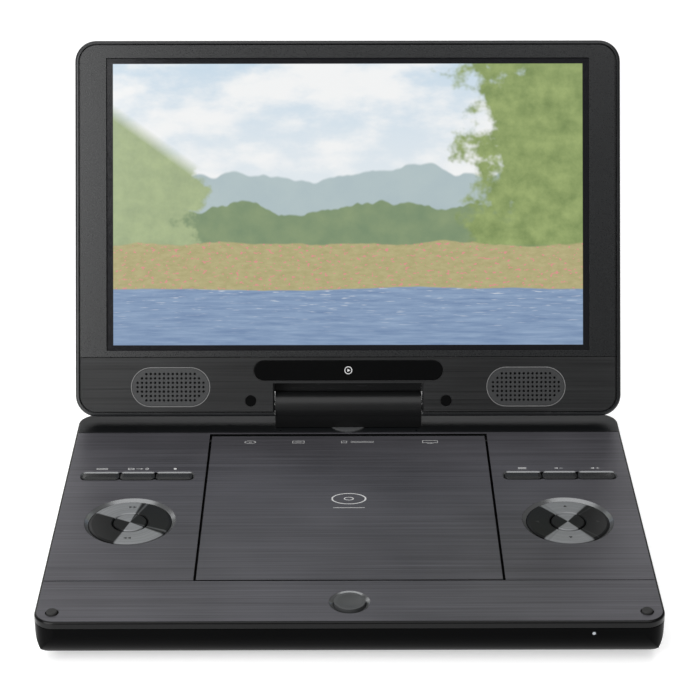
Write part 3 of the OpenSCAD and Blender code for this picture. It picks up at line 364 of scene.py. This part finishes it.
def picture(name):
    """The display: a made-up landscape by a lake, inside a black border."""
    low, high = lid_box("display_panel")
    border_side, border_end = 5.4 * MM, 5.0 * MM
    wide = high.x - low.x - 2 * border_side
    tall = high.y - low.y - 2 * border_end
    corner = LID @ Vector((low.x + border_side, low.y + border_end, high.z))
    paint = Paint(name, 0.16, 0.0, Specular_IOR_Level=0.5)
    s = paint.math("DIVIDE", paint.axis((1, 0, 0), corner), wide)
    t = paint.math("DIVIDE", paint.axis(UP, corner), tall)
    plane = paint.node("ShaderNodeCombineXYZ", {0: paint.math("MULTIPLY", s, 1.67), 1: t, 2: 0.0}).outputs[0]

    def texture(scale, detail=3.0, rough=0.5, shift=(0, 0, 0), stretch=(1, 1, 1)):
        mapped = paint.node("ShaderNodeMapping", {0: plane, 1: shift, 3: stretch})
        inputs = {"Vector": mapped.outputs[0], "Scale": scale, "Detail": detail, "Roughness": rough}
        return paint.node("ShaderNodeTexNoise", inputs).outputs[0]

    def ridge(base, swing, scale, shift, blur):
        """A mask that is 1 below a wavy skyline."""
        wave = texture(scale, 4.0, 0.55, shift, (1, 0.02, 1))
        line = paint.math("ADD", base - swing / 2, paint.math("MULTIPLY", wave, swing))
        return paint.span(paint.math("SUBTRACT", line, t), -blur, blur, smooth=True)

    # sky: bright haze with pale blue and soft clouds
    blue = paint.mix(paint.span(t, 0.45, 1.0), (0.86, 0.9, 0.92, 1), (0.62, 0.75, 0.86, 1))
    clouds = paint.span(texture(3.2, 5.0, 0.55, (1, 4, 0), (1, 1.9, 1)), 0.38, 0.62, smooth=True)
    colour = paint.mix(clouds, blue, (0.95, 0.96, 0.96, 1))
    # far hills in haze, and nearer ones
    far = paint.mix(texture(9.0), (0.42, 0.52, 0.56, 1), (0.5, 0.6, 0.6, 1))
    colour = paint.mix(ridge(0.6, 0.34, 2.1, (3, 0, 0), 0.006), colour, far)
    near = paint.mix(texture(14.0, 5.0), (0.16, 0.25, 0.15, 1), (0.3, 0.38, 0.2, 1))
    colour = paint.mix(ridge(0.49, 0.22, 3.4, (8, 0, 0), 0.005), colour, near)
    # trees out of focus at the right and the left
    leaves = paint.mix(texture(16.0, 4.0, 0.6, (2, 2, 0)), (0.1, 0.17, 0.05, 1), (0.46, 0.56, 0.22, 1))
    edge_r = paint.math("ADD", s, paint.math("MULTIPLY", texture(5.0, 4.0, 0.6, (5, 1, 0)), 0.5))
    crown_r = paint.math("MULTIPLY", paint.span(edge_r, 1.0, 1.06, smooth=True), paint.span(t, 0.33, 0.36))
    colour = paint.mix(crown_r, colour, leaves)
    edge_l = paint.math("SUBTRACT", paint.math("MULTIPLY", texture(6.0, 4.0, 0.6, (9, 3, 0)), 0.42), s)
    low_l = paint.span(paint.math("ADD", t, paint.math("MULTIPLY", s, 1.2)), 0.86, 0.8)
    crown_l = paint.math("MULTIPLY", paint.span(edge_l, 0.0, 0.05, smooth=True), low_l)
    crown_l = paint.math("MULTIPLY", crown_l, paint.span(t, 0.33, 0.36))
    colour = paint.mix(crown_l, colour, paint.mix(0.35, leaves, (0.6, 0.68, 0.5, 1)))
    # meadow with warm flowers
    grass = texture(26.0, 6.0, 0.7, (0, 0, 0), (1, 2.2, 1))
    meadow = paint.mix(grass, (0.32, 0.3, 0.12, 1), (0.62, 0.55, 0.3, 1))
    flowers = paint.span(texture(60.0, 2.0, 0.5, (4, 4, 0), (1, 1.6, 1)), 0.6, 0.66)
    meadow = paint.mix(flowers, meadow, (0.75, 0.3, 0.28, 1))
    colour = paint.mix(ridge(0.36, 0.09, 2.6, (1, 0, 0), 0.004), colour, meadow)
    # lake with long ripples and a pale reflection
    ripples = texture(8.0, 5.0, 0.65, (0, 0, 0), (0.7, 9.0, 1))
    water = paint.mix(ripples, (0.06, 0.13, 0.3, 1), (0.42, 0.55, 0.72, 1))
    glint = paint.math("MULTIPLY", paint.span(texture(30.0, 2.0, 0.5, (0, 0, 0), (0.5, 7.0, 1)), 0.62, 0.7),
                       paint.span(t, 0.02, 0.2))
    water = paint.mix(paint.math("MULTIPLY", glint, 0.6), water, (0.9, 0.93, 0.95, 1))
    colour = paint.mix(ridge(0.2, 0.05, 1.6, (6, 0, 0), 0.003), colour, water)

    # black border round the lit area
    edge = 0.0008
    inside = paint.math("MULTIPLY",
                        paint.math("MULTIPLY", paint.span(s, 0, edge), paint.span(s, 1, 1 - edge)),
                        paint.math("MULTIPLY", paint.span(t, 0, edge), paint.span(t, 1, 1 - edge)))
    paint.set("Base Color", (0.006, 0.006, 0.008, 1))
    paint.set("Roughness", paint.span(paint.noise((500, 500, 500)), 0.3, 0.7, 0.13, 0.19))
    paint.set("Emission Color", paint.mix(inside, (0, 0, 0, 1), colour))
    paint.set("Emission Strength", 0.92)
    return paint.mat


def printed(name, value):
    """Ink for the small printed marks, and for the painted highlight lines round the grilles."""
    paint = Paint(name, 0.55, 0.0)
    grain = paint.noise((4000, 4000, 4000))
    paint.set("Base Color", paint.mix(grain, grey(value * 0.85), grey(value)))
    return paint.mat


def dress(mat, *nodes):
    """Gives CAD nodes a material."""
    for node in nodes:
        slots = NODES[node].data.materials
        slots.clear()
        slots.append(mat)


dress(deck_metal("deck_brushed", 0.05, 0.13), "upper_case", "disc_door")
dress(brushed("panel_brushed", 0.008, 0.03, 0.38, 0.3, 0.00002, Specular_IOR_Level=0.4),
      "speaker_panel")
dress(gloss_plastic("case_gloss", 0.0015, 0.16, 0.03), "lower_case")
dress(gloss_plastic("cover_gloss", 0.014, 0.2, 0.4), "rear_cover")
dress(gloss_plastic("name_gloss", 0.002, 0.08, 0.2, edge=0.0004), "nameplate", "lid_plugs")
dress(satin_plastic("bezel_satin", 0.01, 0.3, grain=1800, depth=0.000006, specular=0.62, warm=-0.08),
      "front_bezel")
dress(satin_plastic("grille_satin", 0.04, 0.42), "speaker_grilles")
dress(satin_plastic("hinge_satin", 0.009, 0.34, specular=0.3), "hinge_block")
dress(satin_plastic("turntable_satin", 0.08, 0.4), "turntable")
dress(satin_plastic("button_satin", 0.055, 0.4), "open_button")
dress(satin_plastic("key_satin", 0.022, 0.3, edge=0.0003),
      "mode_key", "source_key", "stop_key", "setup_key", "volume_down_key", "volume_up_key")
dress(satin_plastic("inner_satin", 0.02, 0.5), "disc_well", "door_latch", "laser_sled", "headphone_jacks",
      "dc_jack", "power_switch", "power_slider", "speakers")
dress(satin_plastic("rocker_pale", 0.5, 0.5), "transport_rocker", "navigation_rocker")
dress(rubber("black_rubber", 0.03), "deck_bumpers", "chassis_dampers", "rubber_feet")
dress(rubber("dome_rubber", 0.5), "key_domes")
dress(steel("bright_steel", 0.6, 0.28), "spindle_hub", "sled_rods", "tilt_shafts", "swivel_shaft",
      "friction_clips", "spindle_motor", "sled_motor", "open_button_spring", "case_screws", "lid_screws")
dress(steel("sheet_steel", 0.5, 0.4, lines=(2000, 60, 60)), "drive_chassis", "hinge_brackets",
      "backlight_frame", "hdmi_socket")
dress(steel("turned_brass", 0.55, 0.3, warm=0.25), "lead_screw")
dress(circuit_board("green_board"), "main_board", "key_boards", "display_board")
dress(satin_plastic("cell_wrap", 0.08, 0.4, warm=-0.4), "battery_pack")
dress(lens("coated_lens"), "laser_lens")
dress(glowing("power_light", (0.9, 0.95, 1.0, 1), 0.2), "status_led")
dress(picture("landscape"), "display_panel")
# for each pad: where its painted highlight wedges are centred, in degrees, and how wide they spread
for side, ring, button, wedge, spread in (("transport", "transport_ring", "play_button", 112, 75),
                                          ("navigation", "navigation_ring", "ok_button", 90, 70)):
    dress(spun_metal_painted_wedges(side + "_spun_painted_wedges", ring, wedge, spread), ring, button)


# ---------------------------------------------------------------- the spring under the door button


def press_spring():
    """A copy of the CAD spring, riding the base, in place of the CAD one, which is hidden."""
    rest = NODES["open_button_spring"]
    piece = bpy.data.objects.new("button_spring", rest.data.copy())
    bpy.context.scene.collection.objects.link(piece)
    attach(piece, "base")
    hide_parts("open_button_spring")
    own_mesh(piece)


press_spring()


# ---------------------------------------------------------------- printed marks, and painted highlight lines round the grilles


def circle(cx, cy, r, steps=40, squash=1.0):
    """A circle's outline, flattened along y by squash."""
    return [(cx + r * math.cos(2 * math.pi * i / steps), cy + squash * r * math.sin(2 * math.pi * i / steps))
            for i in range(steps)]


def marks(name, body, shapes, place, ink):
    """Thin printed shapes, also used for the painted highlight lines round the grilles. A shape is an
    outline, or a pair of outlines for a ring. Millimetres.
    """
    thick = 0.04
    mesh = bmesh.new()
    for shape in shapes:
        ring = isinstance(shape, tuple)
        outer = shape[0] if ring else shape
        inner = shape[1] if ring else None
        top = [mesh.verts.new((x, y, thick)) for x, y in outer]
        low = [mesh.verts.new((x, y, 0)) for x, y in outer]
        n = len(outer)
        for i in range(n):
            mesh.faces.new((low[i], low[(i + 1) % n], top[(i + 1) % n], top[i]))
        if ring:
            top_in = [mesh.verts.new((x, y, thick)) for x, y in inner]
            low_in = [mesh.verts.new((x, y, 0)) for x, y in inner]
            for i in range(n):
                j = (i + 1) % n
                mesh.faces.new((top[i], top[j], top_in[j], top_in[i]))
                mesh.faces.new((low_in[i], low_in[j], low[j], low[i]))
                mesh.faces.new((top_in[i], top_in[j], low_in[j], low_in[i]))
        else:
            mesh.faces.new(top)
            mesh.faces.new(list(reversed(low)))
    mesh.transform(place @ Matrix.Scale(MM, 4))
    data = bpy.data.meshes.new(name)
    mesh.to_mesh(data)
    mesh.free()
    data.materials.append(ink)
    piece = bpy.data.objects.new(name, data)
    bpy.context.scene.collection.objects.link(piece)
    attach(piece, body)
    return piece


def rect(cx, cy, w, h):
    """A rectangle's outline."""
    return [(cx + x * w / 2, cy + y * h / 2) for x, y in ((-1, -1), (1, -1), (1, 1), (-1, 1))]


def triangle(cx, cy, size, turn):
    """A triangle that points along turn, in degrees from +X."""
    a = math.radians(turn)
    return [(cx + size * math.cos(a + b), cy + size * math.sin(a + b))
            for b in (0, math.radians(125), math.radians(235))]


def frame_mark(cx, cy, w, h, line):
    """A rectangular ring, with lines that thick."""
    return (rect(cx, cy, w, h), rect(cx, cy, w - 2 * line, h - 2 * line))


def oval(outer, inner, steps, squash):
    """A flattened ring round the origin."""
    return (circle(0, 0, outer, steps, squash), circle(0, 0, inner, steps, squash))


def deck_place(x, y, z=DECK_Z):
    """Flat on the deck at x, y."""
    return Matrix.Translation((x, y, z))


PALE = printed("pale_ink", 0.7)
DIM = printed("dim_ink", 0.5)
DARK = printed("dark_ink", 0.02)
WHITE = printed("white_ink", 0.8)
# grey ink for the painted highlight lines round the grilles
EDGE_HIGHLIGHT_INK = printed("edge_highlight_ink", 0.2)


def key_marks():
    """A generic sign above each key."""
    label_y = middle("mode_key").y + 7.6 * MM
    signs = {
        "mode_key": [rect(0, 0.55, 6, 0.3), rect(0, -0.55, 6, 0.3),
                     rect(-2.85, 0, 0.3, 1.3), rect(2.85, 0, 0.3, 1.3)],
        "source_key": [frame_mark(-4, 0, 3.2, 1.7, 0.3), rect(0, 0, 2.4, 0.3), triangle(1.6, 0, 0.7, 0),
                       (circle(4.4, 0, 0.95), circle(4.4, 0, 0.6))],
        "stop_key": [rect(0, 0, 1.5, 1.5)],
        "setup_key": [rect(0, y, 4.4, 0.3) for y in (-0.7, 0, 0.7)],
        "volume_down_key": [rect(-1.6, 0, 0.7, 0.9), triangle(-0.9, 0, 0.85, 180), rect(1.5, 0, 1.6, 0.3)],
        "volume_up_key": [rect(-1.6, 0, 0.7, 0.9), triangle(-0.9, 0, 0.85, 180), rect(1.5, 0, 1.6, 0.3),
                          rect(1.5, 0, 0.3, 1.6)],
    }
    for key, shapes in signs.items():
        marks(key + "_sign", "base", shapes, deck_place(middle(key).x, label_y), PALE)


def pad_marks():
    """Transport and direction signs on the rings."""
    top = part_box("transport_ring")[1].z
    reach = 15.2
    for body, node, signs in (
        ("transport_pad", "transport_ring", ((0, reach, 0, 2), (0, -reach, 180, 2))),
        ("navigation_pad", "navigation_ring", ((0, reach, 90, 1), (0, -reach, 270, 1),
                                               (reach, 0, 0, 1), (-reach, 0, 180, 1))),
    ):
        shapes = []
        for x, y, turn, count in signs:
            for i in range(count):
                step = (i - (count - 1) / 2) * 2.1
                a = math.radians(turn)
                shapes.append(triangle(x + step * math.cos(a), y + step * math.sin(a), 1.15, turn))
        centre = middle(node)
        marks(node + "_signs", body, shapes, deck_place(centre.x, centre.y, top), DARK)


def door_marks():
    """Generic disc picture at the door's middle, and four small signs along its rear edge."""
    low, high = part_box("disc_door")
    disc = [oval(9, 8.2, 72, 0.62), oval(2.6, 2.0, 48, 0.62), rect(0, -9.2, 16, 0.35)]
    marks("door_disc_sign", "door", disc, deck_place(0, middle("spindle_hub").y + 4 * MM), PALE)
    rear_y = high.y - 9 * MM
    row = {
        -53.0: [oval(3.1, 2.6, 48, 0.55), oval(0.9, 0.6, 32, 0.55)],
        -27.0: [frame_mark(0, 0, 6.5, 2.6, 0.3), rect(0, 0, 3.4, 0.3)],
        5.0: [frame_mark(-7.4, 0, 3.2, 2.4, 0.3), rect(2.4, 0.6, 12.5, 0.3), rect(2.4, -0.6, 12.5, 0.3)],
        44.0: [frame_mark(0, 0.2, 8.4, 2.8, 0.35), rect(0, -1.6, 3.6, 0.4)],
    }
    for i, (x, shapes) in enumerate(row.items()):
        marks(f"door_sign_{i + 1}", "door", shapes, deck_place(x * MM, rear_y), DIM)


def name_mark():
    """A blank play sign on the nameplate."""
    low, high = lid_box("nameplate")
    centre = Vector((0, (low.y + high.y) / 2, high.z))
    shapes = [(circle(0, 0, 2.1), circle(0, 0, 1.7)), triangle(0.1, 0, 1.0, 0)]
    marks("nameplate_sign", "screen", shapes, LID @ Matrix.Translation(centre), WHITE)


def round_rect(w, h, r, steps=10):
    """A rounded rectangle's outline round the origin."""
    points = []
    for i, (sx, sy) in enumerate(((1, 1), (-1, 1), (-1, -1), (1, -1))):
        for k in range(steps + 1):
            a = math.pi / 2 * (i + k / steps)
            points.append((sx * (w / 2 - r) + r * math.cos(a), sy * (h / 2 - r) + r * math.sin(a)))
    return points


def grille_edge_highlights():
    """Painted highlight: a thin bright line round each speaker grille, standing in for the lit edge of its
    opening.
    """
    face = lid_box("speaker_panel")[1].z
    inverse = LID.inverted()
    points = [inverse @ v.co for v in NODES["speaker_grilles"].data.vertices]
    shown = [p for p in points if p.x > 0 and p.z > face - 0.05 * MM]
    left, right = min(p.x for p in shown), max(p.x for p in shown)
    low, high = min(p.y for p in shown), max(p.y for p in shown)
    wide, tall = (right - left) / MM, (high - low) / MM
    shape = (round_rect(wide + 1.3, tall + 1.3, tall / 2 + 0.6),
             round_rect(wide + 0.5, tall + 0.5, tall / 2 + 0.2))
    for side, name in ((-1, "left"), (1, "right")):
        centre = Vector((side * (left + right) / 2, (low + high) / 2, face))
        # a flat painted highlight ring on the panel's face round each grille
        marks(name + "_grille_edge_highlight", "screen", [shape], LID @ Matrix.Translation(centre), EDGE_HIGHLIGHT_INK)


key_marks()
pad_marks()
grille_edge_highlights()
door_marks()
name_mark()


# ---------------------------------------------------------------- studio


def area_light(name, place, target, size, power):
    """A white rectangular softbox, turned to face target."""
    data = bpy.data.lights.new(name, "AREA")
    data.shape = "RECTANGLE"
    data.size, data.size_y = size
    data.energy = power
    light = bpy.data.objects.new(name, data)
    light.location = place
    light.rotation_euler = (Vector(target) - Vector(place)).to_track_quat("-Z", "Y").to_euler()
    bpy.context.scene.collection.objects.link(light)


def floor():
    """A pale floor, which gives off more light further out, so that it stays white there."""
    mesh = bpy.data.meshes.new("floor")
    corners = [(x, y, 0) for x, y in rect(0, 0, 24, 24)]
    mesh.from_pydata(corners, [], [(0, 1, 2, 3)])
    plane = bpy.data.objects.new("floor", mesh)
    bpy.context.scene.collection.objects.link(plane)
    paint = Paint("pale_floor", 0.22, 0.0, Specular_IOR_Level=0.6)
    cloud = paint.noise((2, 2, 2), detail=2.0)
    paint.set("Base Color", paint.mix(cloud, grey(0.86), grey(0.88)))
    paint.set("Emission Color", (1, 1, 1, 1))
    x, y = paint.axis((1, 0, 0)), paint.axis((0, 1, 0))
    away = paint.length(x, y)
    paint.set("Emission Strength", paint.span(away, 0.5, 2.4, 0.5, 1.0, smooth=True))
    mesh.materials.append(paint.mat)


def studio():
    """A dim world, and three softboxes: overhead, at the photographer's left, and behind."""
    world = bpy.data.worlds.new("studio")
    world.use_nodes = True
    world.node_tree.nodes["Background"].inputs[0].default_value = (1, 1, 1, 1)
    world.node_tree.nodes["Background"].inputs[1].default_value = 0.16
    bpy.context.scene.world = world
    centre = (0, 0, 0.08)
    area_light("top_softbox", (-0.1, -0.35, 1.45), centre, (2.0, 1.3), 15)
    area_light("left_softbox", (-0.72, FRONT_Y - 0.72, 0.6), centre, (0.8, 0.9), 10)
    area_light("rear_softbox", (-0.3, 1.5, 1.0), centre, (2.2, 0.8), 9)
    scene = bpy.context.scene
    scene.view_settings.view_transform = "Standard"
    scene.view_settings.look = "None"


def camera():
    """The photographer's place: square to the leaning screen, 26 degrees above the table."""
    data = bpy.data.cameras.new("camera")
    data.sensor_width = 36.0
    data.lens = 109.0
    data.clip_start = 0.05
    view = bpy.data.objects.new("camera", data)
    view.location = (-0.0033, FRONT_Y - 0.8309, DECK_Z + 0.5442)
    view.rotation_euler = (math.radians(90 - 25.9), 0, -0.0041)
    bpy.context.scene.collection.objects.link(view)
    bpy.context.scene.camera = view


floor()
studio()
camera()
